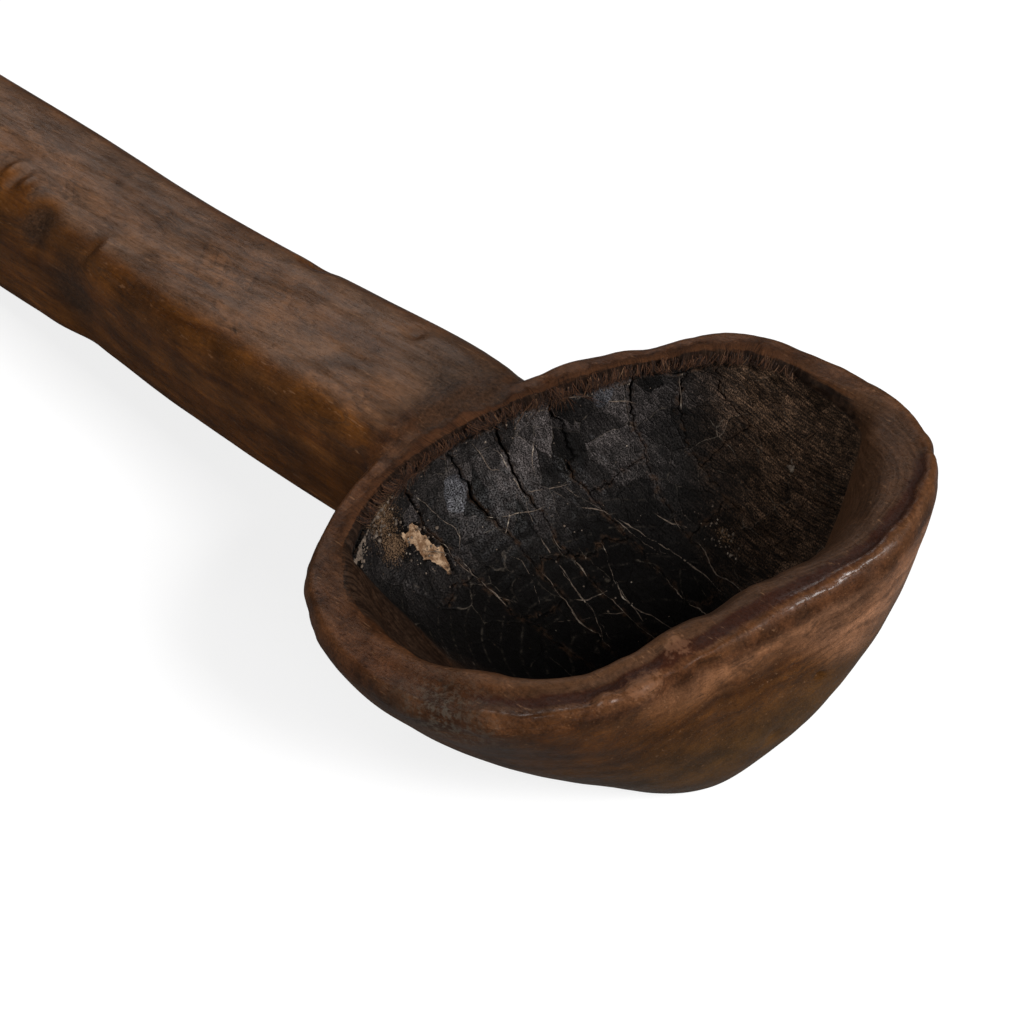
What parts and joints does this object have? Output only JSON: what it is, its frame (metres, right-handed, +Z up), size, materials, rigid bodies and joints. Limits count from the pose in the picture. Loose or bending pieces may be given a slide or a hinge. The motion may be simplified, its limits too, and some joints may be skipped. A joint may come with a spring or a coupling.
{
  "type": "wooden ladle",
  "caption": "Hand-carved wooden ladle with a deep lopsided bowl, a thick squared handle and a cracked burnt crust inside the bowl.",
  "frame": {"origin": "the middle of the flat worn under the bowl, on the table", "axes": "+X along the handle towards the front of the bowl, +Z up from the table, +Y to the higher side of the rim"},
  "size_m": [0.3874, 0.1268, 0.0739],
  "materials": {
    "wood": "old hand-rubbed brown wood, hewn, worn smooth on the rim and handle",
    "crust": "black burnt crust, cracked and slightly glossy"
  },
  "bodies": {
    "root": {"carved_body": "wood", "crust_plate_01": "crust", "crust_plate_02": "crust", "crust_plate_03": "crust", "crust_plate_04": "crust", "crust_plate_05": "crust", "crust_plate_06": "crust", "crust_plate_07": "crust", "crust_plate_08": "crust", "crust_plate_09": "crust", "crust_plate_10": "crust", "crust_plate_11": "crust", "crust_plate_12": "crust", "crust_plate_13": "crust", "crust_plate_14": "crust", "crust_plate_15": "crust", "crust_plate_16": "crust", "crust_plate_17": "crust", "crust_plate_18": "crust", "crust_plate_19": "crust", "crust_plate_20": "crust", "crust_plate_21": "crust", "crust_plate_22": "crust"}
  },
  "joints": []
}
